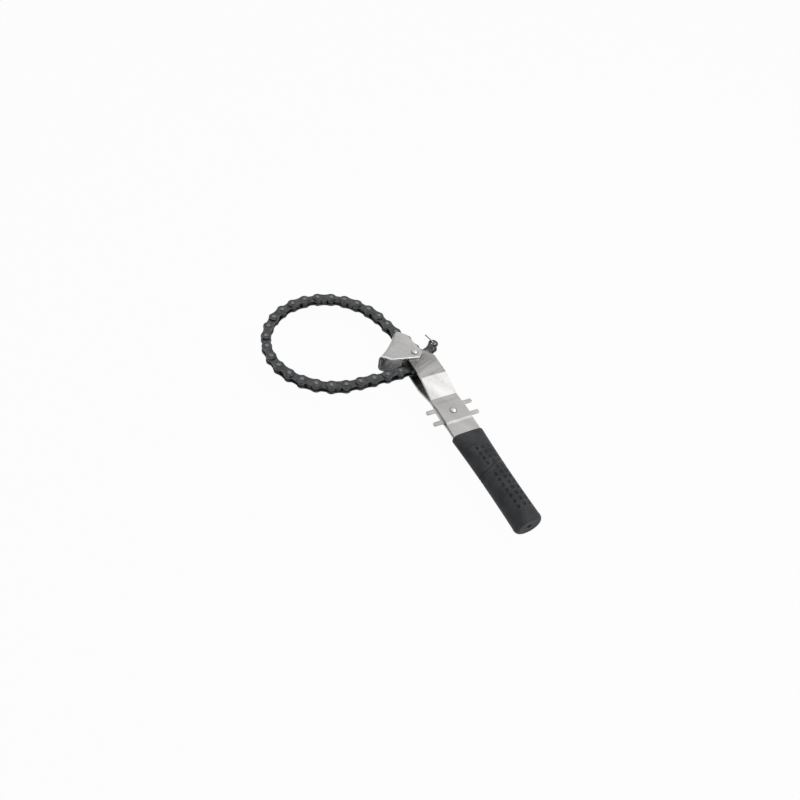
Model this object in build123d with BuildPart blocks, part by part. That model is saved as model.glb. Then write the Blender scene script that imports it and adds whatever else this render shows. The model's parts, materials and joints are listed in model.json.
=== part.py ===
"""Chain oil filter wrench: a forked handle of two riveted strips, a swivelling channel head and a roller chain.

The chain starts on the head's pivot rivet, leaves the head round the end of its web, loops round the filter
and comes back through the fork. Its free tail is pulled tight and hooked over the prongs of the handle.

All sizes are in millimetres. The pieces are made with the pivot rivet's axis as Z and the chain's middle plane
as Z = 0. +X runs along the handle to the grip. At the end they are moved so that the wrench lies on Z = 0.
"""

import os
from math import cos, radians, sin, sqrt

from build123d import *

# Roller chain
pitch = 12.7
roller_d = 7.75
chain_pin_d = 3.66
chain_pin_clearance = 0.05
inner_width = 3.3
plate_t = 1.0
plate_clearance = 0.1
inner_plate_r = 4.65
inner_waist_r = 3.5
outer_plate_r = 4.5
outer_waist_r = 3.3
pin_head_h = 0.5
pin_head_round = 0.25

# The chain as it lies: the heading of the first link, then runs of joints that turn by the same angle
first_heading = 149.3
turn_runs = [
    (1, 39.8),  # round the inside of the head
    (1, 13.3),
    (1, -8.3),  # out of the head
    (1, -1.3),
    (3, 10.7),
    (6, 13.3),  # round the filter's far side
    (6, 13.2),
    (5, 12.4),
    (3, 1.6),  # nearly straight towards the fork
    (1, -2.3),
    (1, 14.6),  # past the pivot, inside the fork
    (1, 39.5),
    (1, -16.1),  # the free tail
]

# Handle strips
strip_t = 2.0
strip_w = 24.6
strip_offset_y = 4.3
fork_gap = 13.0
fork_end_x = 28.0
ramp_end_x = 49.0
foot_gap = 1.0
foot_end_x = 53.0
joggle_len = 2.5
nose_x = -7.0
nose_low_y = 6.2
nose_high_x = 7.6
nose_round = 3.0
tang_start_x = 91.0
tang_end_x = 156.0
tang_w = 16.0
tang_gap = 1.2

# Hook plate between the strips
hook_t = 2.0
hook_rivet_x = 65.9
hook_plate_len = 18.0
hook_plate_w = 27.8
prong_w = 3.4
prong_span = 43.4
prong_round = 1.0
plate_end_play = 0.6

# Rivets and spacers
rivet_head_d = 6.4
rivet_head_h = 1.5
hook_rivet_d = 4.5
running_clearance = 0.15
spacer_d = 7.0
spacer_clearance = 0.15

# Head: a channel folded from sheet
head_heading = 222.6
sheet_t = 2.0
strip_clearance = 0.2
web_u = 26.6
web_hollow = 1.8
web_half_len = 17.5
flange_half_w = 17.4
shoulder_u = 13.8
apex_u = -3.8
apex_half_w = 2.2
apex_r = 2.5
bend_r = 5.0

# Rubber grip
grip_start_x = 91.5
grip_end_x = 186.0
grip_front_w = 28.2
grip_front_h = 11.4
grip_mid_x = 135.0
grip_mid_w = 23.4
grip_mid_h = 19.6
grip_back_w = 23.4
grip_back_h = 23.2
grip_front_round = 1.2
grip_end_round = 3.0
grip_flat = 0.4
hang_hole_d = 4.0
hang_hole_depth = 12.0

# Cotter pin in the last link's free eye
wire_d = 1.4
cotter_eye_r = 1.6
cotter_lift = 0.5
long_leg = 11.5
short_leg = 3.5
short_leg_rise = 1.0
leg_bend_r = 1.2
cotter_heading = 192.0

# Derived sizes
link_count = 1 + sum(count for count, turn in turn_runs)
inner_plate_z = inner_width / 2
inner_half_h = inner_plate_z + plate_t
outer_plate_z = inner_half_h + plate_clearance
outer_half_h = outer_plate_z + plate_t
pin_half_h = outer_half_h + pin_head_h
bush_bore_d = chain_pin_d + 2 * chain_pin_clearance
strip_face_z = fork_gap / 2 + strip_t
flange_in_z = strip_face_z + strip_clearance
flange_out_z = flange_in_z + sheet_t
hook_face_z = hook_t / 2 + strip_t
grip_y = strip_offset_y
strip_low_y = strip_offset_y - strip_w / 2
strip_high_y = strip_offset_y + strip_w / 2

pieces = {}


def keep(node, piece):
    """Labels a finished piece and holds it until all pieces are known."""
    piece.label = node
    pieces[node] = piece


def link_planes():
    """One plane per link, at its first pin, with X along the link."""
    turns = [0.0]
    for count, turn in turn_runs:
        turns += [turn] * count
    planes = []
    x, y, heading = 0.0, 0.0, first_heading
    for turn in turns:
        heading += turn
        along = (cos(radians(heading)), sin(radians(heading)), 0)
        planes.append(Plane(origin=(x, y, 0), x_dir=along, z_dir=(0, 0, 1)))
        x += pitch * along[0]
        y += pitch * along[1]
    return planes


def link_plate(z, end_r, waist_r):
    """A figure-eight side plate, from z upwards. Its waist is two arcs tangent to the round ends."""
    half = pitch / 2
    arc_r = (half**2 + waist_r**2 - end_r**2) / (2 * (end_r - waist_r))
    touch_x = half * end_r / (end_r + arc_r)
    touch_y = sqrt(end_r**2 - touch_x**2)
    with BuildPart() as plate:
        with BuildSketch(Plane.XY.offset(z)):
            with Locations((0, 0), (pitch, 0)):
                Circle(end_r)
            with Locations((half, 0)):
                Rectangle(pitch - 2 * touch_x, 2 * touch_y)
            with Locations((half, waist_r + arc_r), (half, -waist_r - arc_r)):
                Circle(arc_r, mode=Mode.SUBTRACT)
        extrude(amount=plate_t)
    return plate.part


def make_inner_link():
    """Two plates held apart by the rollers, bored through for the pins of the outer links."""
    with BuildPart() as inner_link:
        add(link_plate(inner_plate_z, inner_plate_r, inner_waist_r))
        add(link_plate(-inner_half_h, inner_plate_r, inner_waist_r))
        with Locations((0, 0), (pitch, 0)):
            Cylinder(roller_d / 2, inner_width)
            Hole(bush_bore_d / 2)
    return inner_link.part


def make_pin():
    """A chain pin standing on both outer plates, with slightly rounded ends."""
    with BuildPart() as pin:
        Cylinder(chain_pin_d / 2, 2 * pin_half_h)
        chamfer(pin.edges().filter_by(GeomType.CIRCLE), pin_head_round)
    return pin.part


def make_outer_link(free_eye):
    """Two plates and their pins. The last link has no second pin: its eye is open for the cotter."""
    with BuildPart() as outer_link:
        add(link_plate(outer_plate_z, outer_plate_r, outer_waist_r))
        add(link_plate(-outer_half_h, outer_plate_r, outer_waist_r))
        add(make_pin())
        if free_eye:
            with Locations((pitch, 0)):
                Hole(chain_pin_d / 2)
        else:
            with Locations((pitch, 0)):
                add(make_pin())
    return outer_link.part


def make_chain():
    """Odd links are inner and even links are outer, so the tail ends in an outer link."""
    inner_link = make_inner_link()
    outer_link = make_outer_link(free_eye=False)
    tail_link = make_outer_link(free_eye=True)
    for index, plane in enumerate(link_planes()):
        number = index + 1
        shape = inner_link if number % 2 else outer_link
        if number == link_count:
            shape = tail_link
        keep(f"link_{number:02d}", shape.moved(plane.location))


def make_strip():
    """The upper strip: its side view bent from the fork down to the hook plate and the tang."""
    hook_start_x = hook_rivet_x - hook_plate_len / 2
    hook_end_x = hook_rivet_x + hook_plate_len / 2
    with BuildPart() as strip:
        with BuildSketch(Plane.XZ.offset(-strip_high_y)):
            with BuildLine():
                under = Polyline(
                    (nose_x, fork_gap / 2),
                    (fork_end_x, fork_gap / 2),
                    (ramp_end_x, foot_gap / 2),
                    (foot_end_x, foot_gap / 2),
                    (hook_start_x - plate_end_play, hook_t / 2),
                    (hook_end_x + plate_end_play, hook_t / 2),
                    (hook_end_x + plate_end_play + joggle_len, tang_gap / 2),
                    (tang_end_x, tang_gap / 2),
                )
                offset(under, strip_t, side=Side.LEFT)
            make_face()
        extrude(amount=strip_w)
        with BuildSketch():
            with BuildLine():
                Polyline(
                    (nose_x, strip_low_y),
                    (tang_start_x, strip_low_y),
                    (tang_end_x, strip_offset_y - tang_w / 2),
                    (tang_end_x, strip_offset_y + tang_w / 2),
                    (tang_start_x, strip_high_y),
                    (nose_high_x, strip_high_y),
                    (nose_x, nose_low_y),
                    close=True,
                )
            make_face()
        extrude(amount=strip_face_z, mode=Mode.INTERSECT)
        nose_edges = strip.edges().filter_by(Axis.Z).group_by(Axis.X)[0]
        fillet(nose_edges, nose_round)
        with Locations((0, 0, strip_face_z)):
            Hole(chain_pin_d / 2)
        with Locations((hook_rivet_x, strip_offset_y, hook_face_z)):
            Hole(hook_rivet_d / 2)
    return strip.part


def make_hook_plate():
    """The plate between the strips, with four prongs one chain pitch apart."""
    with BuildPart() as hook_plate:
        with BuildSketch(Plane.XY.offset(-hook_t / 2)) as outline:
            with Locations((hook_rivet_x, strip_offset_y)):
                Rectangle(hook_plate_len, hook_plate_w)
                with GridLocations(pitch, 0, 2, 1):
                    Rectangle(prong_w, prong_span)
            tips = outline.vertices().group_by(Axis.Y)
            fillet(tips[0] + tips[-1], prong_round)
            with Locations((hook_rivet_x, strip_offset_y)):
                Circle(hook_rivet_d / 2, mode=Mode.SUBTRACT)
        extrude(amount=hook_t)
    return hook_plate.part


def make_rivet(shank_d, half_grip):
    """A rivet with a low dome at each end. half_grip is from its middle to the underside of a head."""
    shank_r = shank_d / 2
    head_r = rivet_head_d / 2
    top = half_grip + rivet_head_h
    with BuildPart() as rivet:
        with BuildSketch(Plane.XZ):
            with BuildLine():
                Polyline((0, 0), (shank_r, 0), (shank_r, half_grip), (head_r, half_grip))
                RadiusArc((head_r, half_grip), (0, top), -dome_radius(head_r, rivet_head_h))
                Line((0, top), (0, 0))
            make_face()
        revolve(axis=Axis.Z)
        mirror(about=Plane.XY)
    return rivet.part


def dome_radius(base_r, height):
    """The radius of a sphere whose cap has this base and height."""
    return (base_r**2 + height**2) / (2 * height)


def make_spacers():
    """Two short tubes that keep the chain's first link in the middle of the fork."""
    length = fork_gap / 2 - inner_half_h - spacer_clearance
    middle = fork_gap / 2 - length / 2
    with BuildPart() as spacers:
        with Locations((0, 0, middle), (0, 0, -middle)):
            Cylinder(spacer_d / 2, length)
        Hole(chain_pin_d / 2)
    return spacers.part


def web_edges(builder):
    """The two long curved edges of the face that looks along the hollow of the web."""
    web_face = builder.faces().filter_by(GeomType.CYLINDER).sort_by(Axis.X)[-1]
    return web_face.edges().filter_by(GeomType.CIRCLE)


def make_head():
    """The channel: its plan is a triangle with a rounded apex at the pivot and a hollow web."""
    hollow_r = (web_half_len**2 + web_hollow**2) / (2 * web_hollow)
    hollow_u = web_u - web_hollow + hollow_r
    with BuildPart() as room:
        with BuildSketch(Plane.XY.offset(-flange_in_z)):
            Rectangle(4 * web_u, 4 * web_half_len)
            with Locations((hollow_u, 0)):
                Circle(hollow_r + sheet_t, mode=Mode.SUBTRACT)
            split(bisect_by=Plane.YZ.offset(web_u), keep=Keep.BOTTOM)
        extrude(amount=2 * flange_in_z)
        fillet(web_edges(room), bend_r)
    with BuildPart() as head:
        with BuildSketch(Plane.XY.offset(-flange_out_z)):
            with Locations((apex_u, -apex_half_w), (apex_u, apex_half_w)):
                Circle(apex_r)
            with Locations(((shoulder_u + web_u) / 2, 0)):
                Rectangle(web_u - shoulder_u, 2 * flange_half_w)
            make_hull()
            with Locations((hollow_u, 0)):
                Circle(hollow_r, mode=Mode.SUBTRACT)
        extrude(amount=2 * flange_out_z)
        fillet(web_edges(head), bend_r + sheet_t)
        add(room.part, mode=Mode.SUBTRACT)
        Hole(chain_pin_d / 2 + running_clearance)
    return head.part


def make_grip():
    """A moulded sleeve, a flat oval at the strips and nearly round at its closed end."""
    sections = [
        (grip_start_x, grip_front_w, grip_front_h),
        (grip_mid_x, grip_mid_w, grip_mid_h),
        (grip_end_x, grip_back_w, grip_back_h),
    ]
    with BuildPart() as grip:
        for x, width, height in sections:
            with BuildSketch(Plane.YZ.offset(x)):
                with Locations((grip_y, 0)):
                    RectangleRounded(width, height, (height - grip_flat) / 2)
        loft()
        fillet(grip.faces().sort_by(Axis.X)[0].edges(), grip_front_round)
        fillet(grip.faces().sort_by(Axis.X)[-1].edges(), grip_end_round)
    return grip.part


def make_cotter():
    """Round wire folded double: the eye under the chain, the legs spread over it."""
    leg = wire_d / 2
    top = pin_half_h + cotter_lift
    low = -pin_half_h - cotter_lift
    with BuildPart() as cotter:
        with BuildLine(Plane.XZ) as path:
            long_side = FilletPolyline((long_leg, top), (leg, top), (leg, low), radius=leg_bend_r)
            drop = sqrt(cotter_eye_r**2 - leg**2)
            ThreePointArc((leg, low), (0, low - drop - cotter_eye_r), (-leg, low))
            FilletPolyline(
                (-leg, low), (-leg, top), (-short_leg, top + short_leg_rise), radius=leg_bend_r
            )
        with BuildSketch(Plane(origin=path.line @ 0, z_dir=path.line % 0)):
            Circle(wire_d / 2)
        sweep()
    return cotter.part


def make_grip_sleeve(strips):
    """The grip with the strips' pocket and the hanging hole in its end."""
    with BuildPart() as sleeve:
        add(make_grip())
        for strip in strips:
            add(strip, mode=Mode.SUBTRACT)
        with Locations(Plane(origin=(grip_end_x, grip_y, 0), z_dir=(1, 0, 0))):
            Hole(hang_hole_d / 2, depth=hang_hole_depth)
    return sleeve.part


upper_strip = make_strip()
lower_strip = upper_strip.mirror(Plane.XY)
keep("upper_strip", upper_strip)
keep("lower_strip", lower_strip)
keep("hook_plate", make_hook_plate())
hook_rivet = make_rivet(hook_rivet_d, hook_face_z)
keep("hook_rivet", hook_rivet.moved(Location((hook_rivet_x, strip_offset_y, 0))))
keep("pivot_rivet", make_rivet(chain_pin_d, flange_out_z + running_clearance))
keep("pivot_spacers", make_spacers())
keep("rubber_grip", make_grip_sleeve([upper_strip, lower_strip]))
keep("swivel_head", make_head().moved(Location((0, 0, 0), (0, 0, head_heading))))
make_chain()
tail_eye = link_planes()[-1].from_local_coords((pitch, 0, 0))
keep("cotter_pin", make_cotter().moved(Location(tail_eye, (0, 0, cotter_heading))))

# The wrench stands on Z = 0, with the origin under the middle of its outline
boxes = [piece.bounding_box() for piece in pieces.values()]
middle_x = (min(box.min.X for box in boxes) + max(box.max.X for box in boxes)) / 2
middle_y = (min(box.min.Y for box in boxes) + max(box.max.Y for box in boxes)) / 2
floor_z = min(box.min.Z for box in boxes)
base = Location((-middle_x, -middle_y, -floor_z))
os.makedirs("parts", exist_ok=True)
for node, piece in pieces.items():
    placed = piece.moved(base)
    placed.label = node
    export_step(placed, f"parts/{node}.step")
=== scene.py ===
import json
from math import cos, hypot, pi, radians, sin, tanh

import bpy
from mathutils import Matrix, Vector


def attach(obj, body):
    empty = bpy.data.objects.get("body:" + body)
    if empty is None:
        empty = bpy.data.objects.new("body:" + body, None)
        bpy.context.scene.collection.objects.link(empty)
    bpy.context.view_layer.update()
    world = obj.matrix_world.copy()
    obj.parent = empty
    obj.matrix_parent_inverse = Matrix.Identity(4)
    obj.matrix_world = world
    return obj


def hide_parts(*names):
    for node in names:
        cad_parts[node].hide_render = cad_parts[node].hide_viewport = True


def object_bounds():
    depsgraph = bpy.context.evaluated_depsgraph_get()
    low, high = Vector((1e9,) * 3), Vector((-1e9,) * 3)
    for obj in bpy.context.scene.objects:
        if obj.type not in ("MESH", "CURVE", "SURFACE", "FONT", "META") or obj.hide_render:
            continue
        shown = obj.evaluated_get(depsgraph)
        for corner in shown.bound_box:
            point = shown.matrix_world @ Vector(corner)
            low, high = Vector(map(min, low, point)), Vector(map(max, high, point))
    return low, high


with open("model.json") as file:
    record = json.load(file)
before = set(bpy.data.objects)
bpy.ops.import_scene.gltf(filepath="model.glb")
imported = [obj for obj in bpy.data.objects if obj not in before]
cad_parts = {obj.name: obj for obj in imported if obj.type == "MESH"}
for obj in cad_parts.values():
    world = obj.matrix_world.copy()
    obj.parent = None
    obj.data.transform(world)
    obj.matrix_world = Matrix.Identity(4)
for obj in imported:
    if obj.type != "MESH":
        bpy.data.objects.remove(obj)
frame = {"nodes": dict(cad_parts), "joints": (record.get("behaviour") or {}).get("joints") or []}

# Looks of the chain oil filter wrench. Places are in millimetres from the pivot rivet's middle, with X along
# the handle and Z up, as in the CAD, and at() turns them into the scene's metres. Names that end in _M are in
# metres.
MM = 0.001
cad_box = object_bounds()
pivot = Vector(next(j["pos_m"] for j in frame["joints"] if j["name"] == "head_swivel"))
nodes = frame["nodes"]

# Camera, fitted to the chain's pins in the photograph
CAMERA_AT = (369.3, -255.2, 450.0)
AIM_AT = (41.2, -33.9, 4.3)
ROLL = radians(10.35)
SENSOR = 36.0
LENS = 32.04
NEAREST_M = 0.01
FARTHEST_M = 20

# Chain: half heights over the outer plates and over the pins. A pin's wear starts WORN_START above the plates
# and is full from WORN_FULL below the pin's end.
OUTER_HALF_H = 3.75
PIN_HALF_H = 4.25
WORN_START = 0.25
WORN_FULL = 0.05

# Head: the way it points and the height of its flanges' inner faces. The change from the web's colours to
# the flanges' is FLANGE_BLUR high. The flanges' outer colour ends at the first of INSIDE_LEVELS, and the
# lighter inner one, painted light, is full from the second.
HEAD_HEADING = radians(222.6)
FLANGE_IN_Z = 8.7
FLANGE_BLUR = 0.4
INSIDE_LEVELS = (FLANGE_IN_Z + 0.3, FLANGE_IN_Z + 0.1)

# Parts of a face's normal from which it begins to count, and from which it counts fully. The web's faces
# count by the upward part, the smaller the more. Its cut ends, painted dark as painted shade, and the
# flanges' rims, painted bright as a painted highlight, count by the part across the head.
UPRIGHT_PARTS = (0.75, 0.35)
WEB_END_PARTS = (0.6, 0.9)
RIM_HIGHLIGHT_PARTS = (0.15, 0.35)

# Strips: the fork is painted darker than the tang, a painted shade that lightens between these two places,
# and within RAMP_BLEND of the second one it gives way to the tang's colour.
FORK_SHADE_FADES_X = 8.0
FORK_END_X = 28.0
RAMP_BLEND = 1.5

# Rivets: the dome's height and the height of its dark foot, which is painted shade
RIVET_DOME = 1.5
RIVET_FOOT = 1.0

# Grip: x, width and height of its three sections, and how far its middle strays from GRIP_Y at each end
GRIP_Y = 4.3
GRIP_SECTIONS = ((91.5, 28.9, 11.4), (135.0, 24.2, 19.6), (185.4, 23.8, 22.6))
GRIP_STRAY = (-0.5, 0.5)
GRIP_START = GRIP_SECTIONS[0][0]
GRIP_END = GRIP_SECTIONS[-1][0]

# The grip's skin has a ring every GRIP_STEP, with GRIP_AROUND points in each. A higher GRIP_SQUARE gives its
# oval a flatter top. The pocket for the tang has an x, a width and a height at its bottom and at its mouth.
GRIP_STEP = 0.42
GRIP_AROUND = 180
GRIP_SQUARE = 4.0
FRONT_ROUND = 1.2
END_ROUND = 3.4
POCKET = ((156.0, 16.4, 5.4), (GRIP_START, 25.0, 5.6))
HOLE_R = 2.0
HOLE_DEPTH = 11.5

# Pits on the grip's top: radius, depth, the width of their walls and the step along the grip. Each run of
# pits has its distance from the top line, positive towards -Y, its first place along the grip and its count.
PIT_R = 1.75
PIT_DEPTH = 1.25
PIT_WALL = 0.45
PIT_STEP = 5.4
PIT_RUNS = ((4.8, 111.2, 4), (-1.0, 111.2, 4), (-6.2, 111.2, 3),
            (4.8, 139.2, 7), (-1.0, 133.2, 8), (-6.2, 133.4, 8))

# The two creases between the groups of pits. The first slants towards the grip's front between CREASE_BEND on
# the -Y side of the top line and CREASE_REACH on its +Y side. The second is nearly straight.
CREASE_X = 132.9
CREASE_BEND = 9.0
CREASE_SLOPE = 0.38
CREASE_REACH = 7.0
CREASE_HALF_W = 0.95
CREASE_DEPTH = 1.05
SECOND_X = 135.0
SECOND_SLOPE = 0.06
SECOND_DEPTH = 0.7

# The raised bead near the grip's end
BEAD_X = 181.3
BEAD_HALF_W = 0.9
BEAD_HEIGHT = 0.14

# The steps that round the grip's two ends. Its end face has rings at these shares of its radius and falls by
# DISH_DEPTH within the share DISH_RIM of its edge.
FRONT_STEPS = 5
END_STEPS = 7
DISH_SHARES = (0.9, 0.82, 0.55, 0.3)
DISH_RIM = 0.18
DISH_DEPTH = 0.35

# Stands in for zero where a length is divided by it
LEAST = 1e-9

# Edges that turn by more than SHARP count as sharp. The CAD's are rounded by a width and segments, after
# points closer than WELD_MM are joined.
SHARP = radians(50)
WELD_MM = 0.0005
EDGE_ROUND = (0.25, 2)
HEAD_EDGE_ROUND = (0.45, 3)

# Colours. Where there are two, they are the darkest and the lightest of a surface.
# The fork's two pairs of colours are darker than the tang's by a painted shade, darkest near the head.
FORK_NEAR_SHADED = ((0.11, 0.108, 0.105), (0.33, 0.326, 0.32))
FORK_FAR_SHADED = ((0.18, 0.178, 0.174), (0.47, 0.465, 0.456))
TANG = ((0.36, 0.355, 0.35), (0.46, 0.454, 0.447))
HEAD_FACE = ((0.38, 0.376, 0.37), (0.54, 0.532, 0.522))
# The head's inside colour is painted light.
HEAD_INSIDE_LIT = (0.55, 0.553, 0.556)
# The web's cut ends are painted dark: painted shade.
HEAD_WEB_END_SHADE = (0.075, 0.075, 0.075)
# The flanges' rims are painted near white: a painted highlight.
HEAD_RIM_HIGHLIGHT = (0.96, 0.96, 0.95)
PRONGS = ((0.33, 0.325, 0.32), (0.52, 0.51, 0.50))
RIVET = ((0.46, 0.455, 0.44), (0.66, 0.655, 0.64))
# The rivets' dark foot colour is painted shade.
RIVET_FOOT_SHADE = (0.045, 0.045, 0.044)
BLACKING = ((0.040, 0.042, 0.044), (0.088, 0.091, 0.095))
PIN_WORN = (0.25, 0.25, 0.245)
RUBBER = ((0.043, 0.047, 0.051), (0.074, 0.079, 0.085))
WIRE = ((0.24, 0.24, 0.24), (0.50, 0.50, 0.49))
FLOOR_WHITE = (0.6, 0.6, 0.6)

# Noises: scale per millimetre, detail and roughness
GRAIN = (1.4, 3.0, 0.6)
BANDS = (1.0, 1.5, 0.5)
SPECKS = (1.9, 4.0, 0.7)
CHAIN_CLOUDS = (0.35, 3.0, 0.6)
CHAIN_SPECKS = (2.2, 3.0, 0.6)
RUBBER_CLOUDS = (0.09, 3.0, 0.55)
RUBBER_GRAIN = (3.5, 3.0, 0.6)
WIRE_MARKS = (2.5, 3.0, 0.6)

# Noises that are drawn out: their scales along X, Y and Z and their turns about Z
GRAIN_SCALE = (0.16, 2.6, 1.0)
HEAD_GRAIN_TURN = radians(-45)
PRONG_GRAIN_TURN = radians(90)
BAND_SCALE = (0.03, 0.11, 0.05)
BAND_TURN = radians(-38)
FORK_BAND_SCALE = (0.02, 0.16, 0.05)
FORK_BAND_TURN = radians(-109)

# Shares in a mix. A plate's are its grain, bands and specks. The fork's are that mix, its own bands and the
# specks, and the head's that mix and the specks. The rubber's are its clouds and grain, and the relief's a
# plate's grain and specks.
PLATE_MIX = (0.4, 0.35, 0.25)
FORK_MIX = (0.3, 0.4, 0.3)
HEAD_MIX = (0.6, 0.4)
RUBBER_MIX = (0.7, 0.3)
RELIEF_MIX = (1.0, 0.6)

# Noise values at which a colour or a gloss reaches its two ends. Closer values give more contrast. The wear
# on a pin's end never falls below the share WORN_LEAST.
PLATE_RANGE = (0.34, 0.66)
FORK_RANGE = (0.43, 0.57)
TANG_RANGE = (0.38, 0.62)
HEAD_RANGE = (0.4, 0.6)
CLOUD_RANGE = (0.35, 0.65)
GLOSS_RANGE = (0.3, 0.7)
WORN_RANGE = (0.3, 0.65)
WORN_LEAST = 0.25

# Roughness at the low and the high end of the noise, and the other qualities of the surfaces
PLATE_ROUGH = (0.38, 0.28)
STRIP_ROUGH = (0.40, 0.30)
HEAD_ROUGH = (0.38, 0.30)
RIVET_ROUGH = (0.30, 0.22)
CHAIN_ROUGH = (0.26, 0.44)
RUBBER_ROUGH = (0.5, 0.64)
WIRE_ROUGH = (0.34, 0.24)
CHAIN_METAL = 0.75
OIL_COAT = 0.15
OIL_ROUGH = 0.25
RUBBER_SHINE = 0.13
FLOOR_ROUGH = 0.9
FLOOR_SHINE = 0.1

# Relief: its height in millimetres and its strength
PLATE_RELIEF = (0.02, 0.35)
CHAIN_RELIEF = (0.02, 0.3)
RUBBER_RELIEF = (0.03, 0.4)
WIRE_RELIEF = (0.015, 0.3)

# Light: the name, place, aim, size in metres and power in watts of each lamp. WORLD_LIGHT is the share of the
# white surroundings that gives light, and FLOOR_SEEN the share of plain white in the floor where it is seen.
LAMPS = (("over", (-40, 420, 900), (40, -20, 0), 0.55, 0.72),
         ("right", (500, 500, 700), (60, 0, 0), 1.2, 4.6))
WORLD_LIGHT = 0.32
FLOOR_HALF_M = 3.0
FLOOR_DROP_M = 0.0002
FLOOR_SEEN = 0.97


def at(x, y, z):
    """A place in millimetres from the pivot, as a point of the scene."""
    return pivot + Vector((x, y, z)) * MM


# Node helpers

def material(name):
    """A new node material. Returns it with its tree and its Principled shader."""
    mat = bpy.data.materials.new(name)
    mat.use_nodes = True
    tree = mat.node_tree
    return mat, tree, tree.nodes["Principled BSDF"]


def node(tree, kind, **settings):
    """A node with its sockets set by name and its properties by attribute."""
    made = tree.nodes.new(kind)
    for key, value in settings.items():
        socket = key.replace("_", " ")
        if socket in made.inputs:
            made.inputs[socket].default_value = value
        else:
            setattr(made, key, value)
    return made


def maths(tree, operation, first, second=None, clamp=False):
    """A Math node whose inputs are numbers or sockets."""
    made = tree.nodes.new("ShaderNodeMath")
    made.operation = operation
    made.use_clamp = clamp
    for slot, value in enumerate((first, second)):
        if value is None:
            continue
        if isinstance(value, (int, float)):
            made.inputs[slot].default_value = value
        else:
            tree.links.new(value, made.inputs[slot])
    return made.outputs[0]


def place(tree, scale=(1, 1, 1), turn=0.0):
    """Object coordinates in millimetres from the pivot, turned about Z and then scaled."""
    coords = tree.nodes.new("ShaderNodeTexCoord")
    to_mm = node(tree, "ShaderNodeMapping", vector_type="POINT")
    to_mm.inputs["Location"].default_value = -pivot / MM
    to_mm.inputs["Scale"].default_value = (1 / MM, 1 / MM, 1 / MM)
    turned = node(tree, "ShaderNodeMapping", vector_type="POINT")
    turned.inputs["Rotation"].default_value = (0, 0, turn)
    scaled = node(tree, "ShaderNodeMapping", vector_type="POINT")
    scaled.inputs["Scale"].default_value = scale
    tree.links.new(coords.outputs["Object"], to_mm.inputs["Vector"])
    tree.links.new(to_mm.outputs["Vector"], turned.inputs["Vector"])
    tree.links.new(turned.outputs["Vector"], scaled.inputs["Vector"])
    return scaled.outputs["Vector"]


def noise(tree, vector, kind):
    """Noise between 0 and 1 at a place."""
    scale, detail, rough = kind
    made = node(tree, "ShaderNodeTexNoise", Scale=scale, Detail=detail, Roughness=rough)
    tree.links.new(vector, made.inputs["Vector"])
    return made.outputs["Fac"]


def span(tree, value, ends, to_low=0.0, to_high=1.0):
    """Maps the two ends to to_low and to_high, clamped, smoothly."""
    low, high = ends
    made = node(tree, "ShaderNodeMapRange", interpolation_type="SMOOTHSTEP")
    tree.links.new(value, made.inputs["Value"])
    made.inputs["From Min"].default_value = low
    made.inputs["From Max"].default_value = high
    made.inputs["To Min"].default_value = to_low
    made.inputs["To Max"].default_value = to_high
    return made.outputs["Result"]


def blend_colour(tree, share, first, second):
    """A colour between two colours, or colour sockets, by share."""
    made = node(tree, "ShaderNodeMix", data_type="RGBA")
    tree.links.new(share, made.inputs["Factor"])
    for name, value in (("A", first), ("B", second)):
        socket = next(s for s in made.inputs if s.name == name and s.type == "RGBA")
        if isinstance(value, tuple):
            socket.default_value = (*value, 1.0)
        else:
            tree.links.new(value, socket)
    return next(s for s in made.outputs if s.type == "RGBA")


def bump(tree, shader, height, relief):
    """Raises the surface by a height between 0 and 1."""
    distance_mm, strength = relief
    made = node(tree, "ShaderNodeBump", Strength=strength, Distance=distance_mm * MM)
    tree.links.new(height, made.inputs["Height"])
    tree.links.new(made.outputs["Normal"], shader.inputs["Normal"])


def split_xyz(tree, vector):
    """The three parts of a vector."""
    made = tree.nodes.new("ShaderNodeSeparateXYZ")
    tree.links.new(vector, made.inputs[0])
    return made.outputs


def weigh(tree, shares, *sockets):
    """The sum of sockets, each times its share."""
    total = None
    for socket, share in zip(sockets, shares):
        part = maths(tree, "MULTIPLY", socket, share)
        total = part if total is None else maths(tree, "ADD", total, part)
    return total


# Materials

def plate_share(tree, grain_turn):
    """Fine grain along the sheet, soft slanting bands and small specks, as one value about 0.5."""
    grain = noise(tree, place(tree, GRAIN_SCALE, grain_turn), GRAIN)
    bands = noise(tree, place(tree, BAND_SCALE, BAND_TURN), BANDS)
    speck = noise(tree, place(tree), SPECKS)
    return weigh(tree, PLATE_MIX, grain, bands, speck), grain, speck


def finish_plate(tree, shader, share, grain, speck, rough):
    """The gloss and relief that every plated piece has."""
    shader.inputs["Metallic"].default_value = 1.0
    tree.links.new(span(tree, share, CLOUD_RANGE, *rough), shader.inputs["Roughness"])
    bump(tree, shader, weigh(tree, RELIEF_MIX, grain, speck), PLATE_RELIEF)


def prong_steel():
    """Dull zinc plate over brushed sheet, with its grain across the handle."""
    mat, tree, shader = material("prong_plate")
    share, grain, speck = plate_share(tree, PRONG_GRAIN_TURN)
    tree.links.new(blend_colour(tree, span(tree, share, PLATE_RANGE), *PRONGS), shader.inputs["Base Color"])
    finish_plate(tree, shader, share, grain, speck, PLATE_ROUGH)
    return mat


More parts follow.
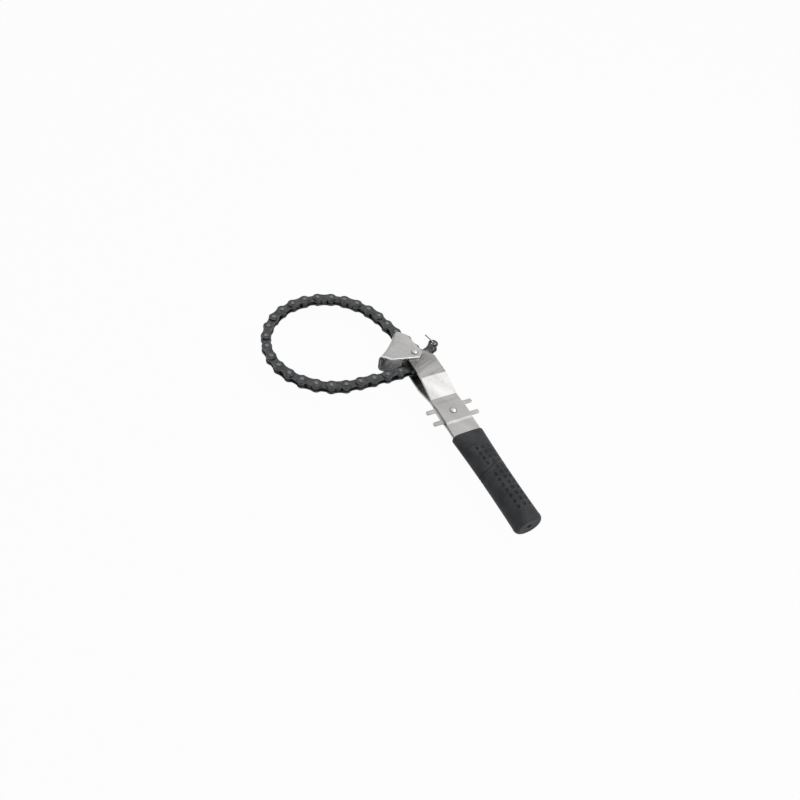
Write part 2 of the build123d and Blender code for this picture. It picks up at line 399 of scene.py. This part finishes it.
def strip_steel():
    """The handle strips: painted shade makes the fork darker, darkest near the head, and it is more strongly
    banded; from the ramp on they take the tang's lighter colour.
    """
    mat, tree, shader = material("strip_plate")
    share, grain, speck = plate_share(tree, 0.0)
    along = split_xyz(tree, place(tree))[0]
    # Painted shade on the fork: darkest near the head, lightening towards the ramp, where the tang's lighter
    # colour takes over.
    lighter_share = span(tree, along, (FORK_END_X - RAMP_BLEND, FORK_END_X + RAMP_BLEND))
    bands = noise(tree, place(tree, FORK_BAND_SCALE, FORK_BAND_TURN), BANDS)
    level = span(tree, weigh(tree, FORK_MIX, share, bands, speck), FORK_RANGE)
    near = blend_colour(tree, level, *FORK_NEAR_SHADED)
    far = blend_colour(tree, level, *FORK_FAR_SHADED)
    fork = blend_colour(tree, span(tree, along, (FORK_SHADE_FADES_X, FORK_END_X)), near, far)
    tang = blend_colour(tree, span(tree, share, TANG_RANGE), *TANG)
    tree.links.new(blend_colour(tree, lighter_share, fork, tang), shader.inputs["Base Color"])
    finish_plate(tree, shader, share, grain, speck, STRIP_ROUGH)
    return mat


def head_sideways(tree, normal):
    """How much a face looks along the head's width, either way."""
    across = tree.nodes.new("ShaderNodeVectorMath")
    across.operation = "DOT_PRODUCT"
    tree.links.new(normal, across.inputs[0])
    across.inputs[1].default_value = (-sin(HEAD_HEADING), cos(HEAD_HEADING), 0)
    return maths(tree, "ABSOLUTE", across.outputs["Value"])


def head_steel():
    """The head's sheet: painted light on its web and inside, a painted highlight on its rims and painted
    shade on its web's cut ends.
    """
    mat, tree, shader = material("head_plate")
    share, grain, speck = plate_share(tree, HEAD_GRAIN_TURN)
    height = maths(tree, "ABSOLUTE", split_xyz(tree, place(tree))[2])
    normal = tree.nodes.new("ShaderNodeTexCoord").outputs["Normal"]
    upright = span(tree, maths(tree, "ABSOLUTE", split_xyz(tree, normal)[2]), UPRIGHT_PARTS)
    inside = span(tree, height, INSIDE_LEVELS)
    in_flange = span(tree, height, (FLANGE_IN_Z - FLANGE_BLUR, FLANGE_IN_Z))
    in_web = span(tree, height, (FLANGE_IN_Z, FLANGE_IN_Z - FLANGE_BLUR))
    web_side = maths(tree, "MULTIPLY", upright, in_web)
    sideways = head_sideways(tree, normal)
    web_end = maths(tree, "MULTIPLY", web_side, span(tree, sideways, WEB_END_PARTS))
    edge = span(tree, sideways, RIM_HIGHLIGHT_PARTS)
    cloudy = weigh(tree, HEAD_MIX, share, speck)
    face = blend_colour(tree, span(tree, cloudy, HEAD_RANGE), *HEAD_FACE)
    # Painted light: the web and the flanges' inner faces are lighter
    face = blend_colour(tree, inside, face, HEAD_INSIDE_LIT)
    # Painted shade on the web's cut ends
    face = blend_colour(tree, web_end, face, HEAD_WEB_END_SHADE)
    # Painted highlight on the flanges' rims
    face = blend_colour(tree, maths(tree, "MULTIPLY", edge, in_flange), face, HEAD_RIM_HIGHLIGHT)
    tree.links.new(face, shader.inputs["Base Color"])
    finish_plate(tree, shader, share, grain, speck, HEAD_ROUGH)
    return mat


def rivet_steel(node_name):
    """Plated steel at the dome's top and painted shade, dark, round its foot."""
    mat, tree, shader = material(node_name + "_plate")
    top = (max(vertex.co.z for vertex in nodes[node_name].data.vertices) - pivot.z) / MM
    share, grain, speck = plate_share(tree, 0.0)
    height = maths(tree, "ABSOLUTE", split_xyz(tree, place(tree))[2])
    # Painted shade: the dome's foot is dark and the rest takes the plated colour.
    lighter_share = span(tree, height, (top - RIVET_DOME, top - RIVET_DOME + RIVET_FOOT))
    plate = blend_colour(tree, span(tree, share, PLATE_RANGE), *RIVET)
    tree.links.new(blend_colour(tree, lighter_share, RIVET_FOOT_SHADE, plate), shader.inputs["Base Color"])
    finish_plate(tree, shader, share, grain, speck, RIVET_ROUGH)
    return mat


def chain_steel():
    """Blackened and oiled steel. The pins' riveted ends are worn to a dull grey in patches."""
    mat, tree, shader = material("chain_black")
    spot = place(tree)
    cloud = noise(tree, spot, CHAIN_CLOUDS)
    speck = noise(tree, spot, CHAIN_SPECKS)
    height = maths(tree, "ABSOLUTE", split_xyz(tree, spot)[2])
    pin_end = span(tree, height, (OUTER_HALF_H + WORN_START, PIN_HALF_H - WORN_FULL))
    worn = maths(tree, "MULTIPLY", pin_end, span(tree, speck, WORN_RANGE, WORN_LEAST, 1.0))
    black = blend_colour(tree, span(tree, cloud, CLOUD_RANGE), *BLACKING)
    tree.links.new(blend_colour(tree, worn, black, PIN_WORN), shader.inputs["Base Color"])
    shader.inputs["Metallic"].default_value = CHAIN_METAL
    shader.inputs["Coat Weight"].default_value = OIL_COAT
    shader.inputs["Coat Roughness"].default_value = OIL_ROUGH
    tree.links.new(span(tree, speck, GLOSS_RANGE, *CHAIN_ROUGH), shader.inputs["Roughness"])
    bump(tree, shader, speck, CHAIN_RELIEF)
    return mat


def rubber():
    """Moulded rubber: dark grey, matt, with a fine grain and faint dusty patches."""
    mat, tree, shader = material("grip_rubber_dark")
    spot = place(tree)
    cloud = noise(tree, spot, RUBBER_CLOUDS)
    fine = noise(tree, spot, RUBBER_GRAIN)
    colour = blend_colour(tree, span(tree, weigh(tree, RUBBER_MIX, cloud, fine), CLOUD_RANGE), *RUBBER)
    tree.links.new(colour, shader.inputs["Base Color"])
    tree.links.new(span(tree, fine, GLOSS_RANGE, *RUBBER_ROUGH), shader.inputs["Roughness"])
    shader.inputs["Specular IOR Level"].default_value = RUBBER_SHINE
    bump(tree, shader, fine, RUBBER_RELIEF)
    return mat


def wire():
    """Drawn wire with dull marks."""
    mat, tree, shader = material("cotter_wire_bright")
    mark = noise(tree, place(tree), WIRE_MARKS)
    colour = blend_colour(tree, span(tree, mark, CLOUD_RANGE), *WIRE)
    tree.links.new(colour, shader.inputs["Base Color"])
    shader.inputs["Metallic"].default_value = 1.0
    tree.links.new(span(tree, mark, GLOSS_RANGE, *WIRE_ROUGH), shader.inputs["Roughness"])
    bump(tree, shader, mark, WIRE_RELIEF)
    return mat


def dress(name, mat):
    """Gives a CAD node its material."""
    mesh = nodes[name].data
    mesh.materials.clear()
    mesh.materials.append(mat)


def soften(name, width_mm, segments):
    """Rounds a CAD node's sharp edges a little, as deburred edges are."""
    obj = nodes[name]
    weld = obj.modifiers.new("weld", "WELD")
    weld.merge_threshold = WELD_MM * MM
    bevel = obj.modifiers.new("bevel", "BEVEL")
    bevel.width = width_mm * MM
    bevel.segments = segments
    bevel.limit_method = "ANGLE"
    bevel.angle_limit = SHARP
    bevel.use_clamp_overlap = False


# Grip

def section_at(x):
    """Width and height of the grip at x, on a smooth curve through its three sections."""
    (x0, w0, h0), (x1, w1, h1), (x2, w2, h2) = GRIP_SECTIONS
    a = (x - x1) * (x - x2) / ((x0 - x1) * (x0 - x2))
    b = (x - x0) * (x - x2) / ((x1 - x0) * (x1 - x2))
    c = (x - x0) * (x - x1) / ((x2 - x0) * (x2 - x1))
    return a * w0 + b * w1 + c * w2, a * h0 + b * h1 + c * h2


def smooth(value):
    """0 to 1 with soft ends."""
    value = max(0.0, min(1.0, value))
    return value * value * (3 - 2 * value)


def oval(width, height, turn):
    """A point of the flat-sided oval, at a turn from +Y over the top."""
    flat = (width - height) / 2
    side = tanh(GRIP_SQUARE * cos(turn)) / tanh(GRIP_SQUARE)
    return flat * side + height / 2 * cos(turn), height / 2 * sin(turn)


def box_point(width, height, turn):
    """A point of a rectangle's outline at the same turn."""
    along, up = abs(cos(turn)) or LEAST, abs(sin(turn)) or LEAST
    reach = min(width / 2 / along, height / 2 / up)
    return reach * cos(turn), reach * sin(turn)


def middle_y(x):
    """The grip's middle line at x."""
    share = (x - GRIP_START) / (GRIP_END - GRIP_START)
    return GRIP_Y + GRIP_STRAY[0] + (GRIP_STRAY[1] - GRIP_STRAY[0]) * share


def pit_spots():
    """Places of the pits as x and the distance from the top line."""
    return [(first + row * PIT_STEP, across) for across, first, count in PIT_RUNS for row in range(count)]


def ridge(away, half_width):
    """1 on a line, falling smoothly to 0 at its half width."""
    return smooth((half_width - abs(away)) / half_width)


def sink(x, across, spots):
    """How far the surface lies below the plain oval. The bead lies above it."""
    first = CREASE_X - CREASE_SLOPE * max(0.0, CREASE_BEND - max(across, -CREASE_REACH))
    second = SECOND_X + SECOND_SLOPE * across
    depth = ridge(x - first, CREASE_HALF_W) * CREASE_DEPTH + ridge(x - second, CREASE_HALF_W) * SECOND_DEPTH
    depth -= ridge(x - BEAD_X, BEAD_HALF_W) * BEAD_HEIGHT
    for spot_x, spot_across in spots:
        if abs(x - spot_x) > PIT_R or abs(across - spot_across) > PIT_R:
            continue
        away = hypot(x - spot_x, across - spot_across)
        depth = max(depth, smooth((PIT_R - away) / PIT_WALL) * PIT_DEPTH)
    return depth


def around():
    """The turns of a ring's points, from +Y over the top."""
    return [2 * pi * step / GRIP_AROUND for step in range(GRIP_AROUND)]


def from_top_line(ring):
    """How far each point of a ring is from the top line along the skin, positive towards -Y."""
    top = GRIP_AROUND // 4
    across = [0.0] * GRIP_AROUND
    for way in (1, -1):
        for step in range(1, GRIP_AROUND // 2):
            here = (top + way * step) % GRIP_AROUND
            before = (top + way * (step - 1)) % GRIP_AROUND
            gap = hypot(ring[here][0] - ring[before][0], ring[here][1] - ring[before][1])
            across[here] = across[before] + way * gap
    return across


def body_ring(x, shrink, spots):
    """One ring of the grip's skin at x, drawn in by shrink for its rounded ends."""
    width, height = section_at(x)
    plain = [oval(width - 2 * shrink, height - 2 * shrink, turn) for turn in around()]
    ring = []
    for (y, z), far in zip(plain, from_top_line(plain)):
        keep = 1 - sink(x, far, spots) / hypot(y, z)
        ring.append(at(x, middle_y(x) + y * keep, z * keep))
    return ring


def shape_ring(x, outline, *size):
    """A ring of another outline at x, such as the pocket or the hole."""
    points = [outline(*size, turn) for turn in around()]
    return [at(x, middle_y(x) + y, z) for y, z in points]


def rounded_end(x, way, radius, steps):
    """Places and shrinks of the rings that round an end. way is +1 for the end, -1 for the front."""
    ends = []
    for step in range(steps + 1):
        angle = pi / 2 * step / steps
        ends.append((x - way * radius * (1 - sin(angle)), radius * (1 - cos(angle))))
    return ends


def grip_rings():
    """The grip's rings in order: pocket, rounded front, skin, rounded end, dished end face, hanging hole."""
    spots = pit_spots()
    front = rounded_end(GRIP_START, -1, FRONT_ROUND, FRONT_STEPS)
    end = rounded_end(GRIP_END, 1, END_ROUND, END_STEPS)
    first, last = GRIP_START + FRONT_ROUND, GRIP_END - END_ROUND
    count = round((last - first) / GRIP_STEP)
    skin = [(first + (last - first) * step / count, 0.0) for step in range(1, count)]
    rings = [shape_ring(x, box_point, width, height) for x, width, height in POCKET]
    rings += [body_ring(x, shrink, spots) for x, shrink in front[::-1] + skin + end]
    face_r = GRIP_SECTIONS[-1][2] / 2 - END_ROUND
    for share in DISH_SHARES:
        size = 2 * face_r * share
        dish = DISH_DEPTH * smooth((1 - share) / DISH_RIM)
        rings.append(shape_ring(GRIP_END - dish, oval, size, size))
    for depth in (DISH_DEPTH, HOLE_DEPTH):
        rings.append(shape_ring(GRIP_END - depth, oval, 2 * HOLE_R, 2 * HOLE_R))
    return rings


def tube_faces(levels):
    """Faces that join the rings, with a lid on the first and the last."""
    faces = []
    for level in range(levels - 1):
        low, high = level * GRIP_AROUND, (level + 1) * GRIP_AROUND
        for step in range(GRIP_AROUND):
            after = (step + 1) % GRIP_AROUND
            faces.append((low + step, low + after, high + after, high + step))
    bottom = (levels - 1) * GRIP_AROUND
    faces.append(tuple(reversed(range(GRIP_AROUND))))
    faces.append(tuple(range(bottom, bottom + GRIP_AROUND)))
    return faces


def make_grip():
    """The moulded grip as one closed tube, in place of its plain solid."""
    rings = grip_rings()
    mesh = bpy.data.meshes.new("grip_sleeve")
    mesh.from_pydata([point for ring in rings for point in ring], [], tube_faces(len(rings)))
    mesh.validate()
    mesh.shade_smooth()
    mesh.set_sharp_from_angle(angle=SHARP)
    mesh.materials.append(rubber())
    grip = bpy.data.objects.new("grip_sleeve", mesh)
    bpy.context.scene.collection.objects.link(grip)
    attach(grip, "handle")
    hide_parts("rubber_grip")


# Camera and light

def set_camera():
    """The photograph's camera, rolled as it was held."""
    spot = at(*CAMERA_AT)
    look = (at(*AIM_AT) - spot).normalized()
    right = look.cross(Vector((0, 0, 1))).normalized()
    up = right.cross(look)
    image_right = right * cos(ROLL) + up * sin(ROLL)
    image_up = up * cos(ROLL) - right * sin(ROLL)
    data = bpy.data.cameras.new("camera")
    data.sensor_width = SENSOR
    data.lens = LENS
    data.clip_start = NEAREST_M
    data.clip_end = FARTHEST_M
    camera = bpy.data.objects.new("camera", data)
    bpy.context.scene.collection.objects.link(camera)
    turn = Matrix((image_right, image_up, -look)).transposed()
    camera.matrix_world = Matrix.Translation(spot) @ turn.to_4x4()
    bpy.context.scene.camera = camera


def seen_share(tree):
    """1 where a surface is seen, also mirrored or through glass, and 0 where it only gives light."""
    path = tree.nodes.new("ShaderNodeLightPath")
    seen = maths(tree, "ADD", path.outputs["Is Camera Ray"], path.outputs["Is Glossy Ray"])
    return maths(tree, "ADD", seen, path.outputs["Is Transmission Ray"], clamp=True)


def set_world():
    """White surroundings that give only a share of their light."""
    world = bpy.data.worlds.new("world")
    bpy.context.scene.world = world
    world.use_nodes = True
    tree = world.node_tree
    back = tree.nodes["Background"]
    strength = maths(tree, "ADD", maths(tree, "MULTIPLY", seen_share(tree), 1.0 - WORLD_LIGHT), WORLD_LIGHT)
    tree.links.new(strength, back.inputs["Strength"])
    back.inputs["Color"].default_value = (1, 1, 1, 1)


def set_floor():
    """A white floor that keeps a faint shadow."""
    mesh = bpy.data.meshes.new("floor")
    corners = [(-1, -1), (1, -1), (1, 1), (-1, 1)]
    mesh.from_pydata([(x * FLOOR_HALF_M, y * FLOOR_HALF_M, 0) for x, y in corners], [], [(0, 1, 2, 3)])
    floor = bpy.data.objects.new("floor", mesh)
    bpy.context.scene.collection.objects.link(floor)
    floor.location.z = cad_box[0][2] - FLOOR_DROP_M
    mat, tree, shader = material("floor_white")
    shader.inputs["Base Color"].default_value = (*FLOOR_WHITE, 1)
    shader.inputs["Roughness"].default_value = FLOOR_ROUGH
    shader.inputs["Specular IOR Level"].default_value = FLOOR_SHINE
    glow = node(tree, "ShaderNodeEmission", Strength=1.0)
    mix = tree.nodes.new("ShaderNodeMixShader")
    tree.links.new(maths(tree, "MULTIPLY", seen_share(tree), FLOOR_SEEN), mix.inputs[0])
    tree.links.new(shader.outputs[0], mix.inputs[1])
    tree.links.new(glow.outputs[0], mix.inputs[2])
    tree.links.new(mix.outputs[0], tree.nodes["Material Output"].inputs["Surface"])
    mesh.materials.append(mat)


def area_light(name, spot, aim, size, power):
    """A round soft box."""
    data = bpy.data.lights.new(name, "AREA")
    data.shape = "DISK"
    data.size = size
    data.energy = power
    light = bpy.data.objects.new(name, data)
    bpy.context.scene.collection.objects.link(light)
    spot, aim = at(*spot), at(*aim)
    light.matrix_world = Matrix.Translation(spot) @ (aim - spot).to_track_quat("-Z", "Y").to_matrix().to_4x4()


set_camera()
set_world()
set_floor()
for lamp in LAMPS:
    area_light(*lamp)

chain_black = chain_steel()
for name in nodes:
    if name.startswith("link_"):
        dress(name, chain_black)
sheet = strip_steel()
for name in ("upper_strip", "lower_strip"):
    dress(name, sheet)
dress("swivel_head", head_steel())
prong_plate = prong_steel()
for name in ("hook_plate", "pivot_spacers"):
    dress(name, prong_plate)
for name in ("hook_rivet", "pivot_rivet"):
    dress(name, rivet_steel(name))
dress("cotter_pin", wire())
for name in ("upper_strip", "lower_strip", "hook_plate"):
    soften(name, *EDGE_ROUND)
soften("swivel_head", *HEAD_EDGE_ROUND)
make_grip()

bpy.context.scene.view_settings.view_transform = "Standard"
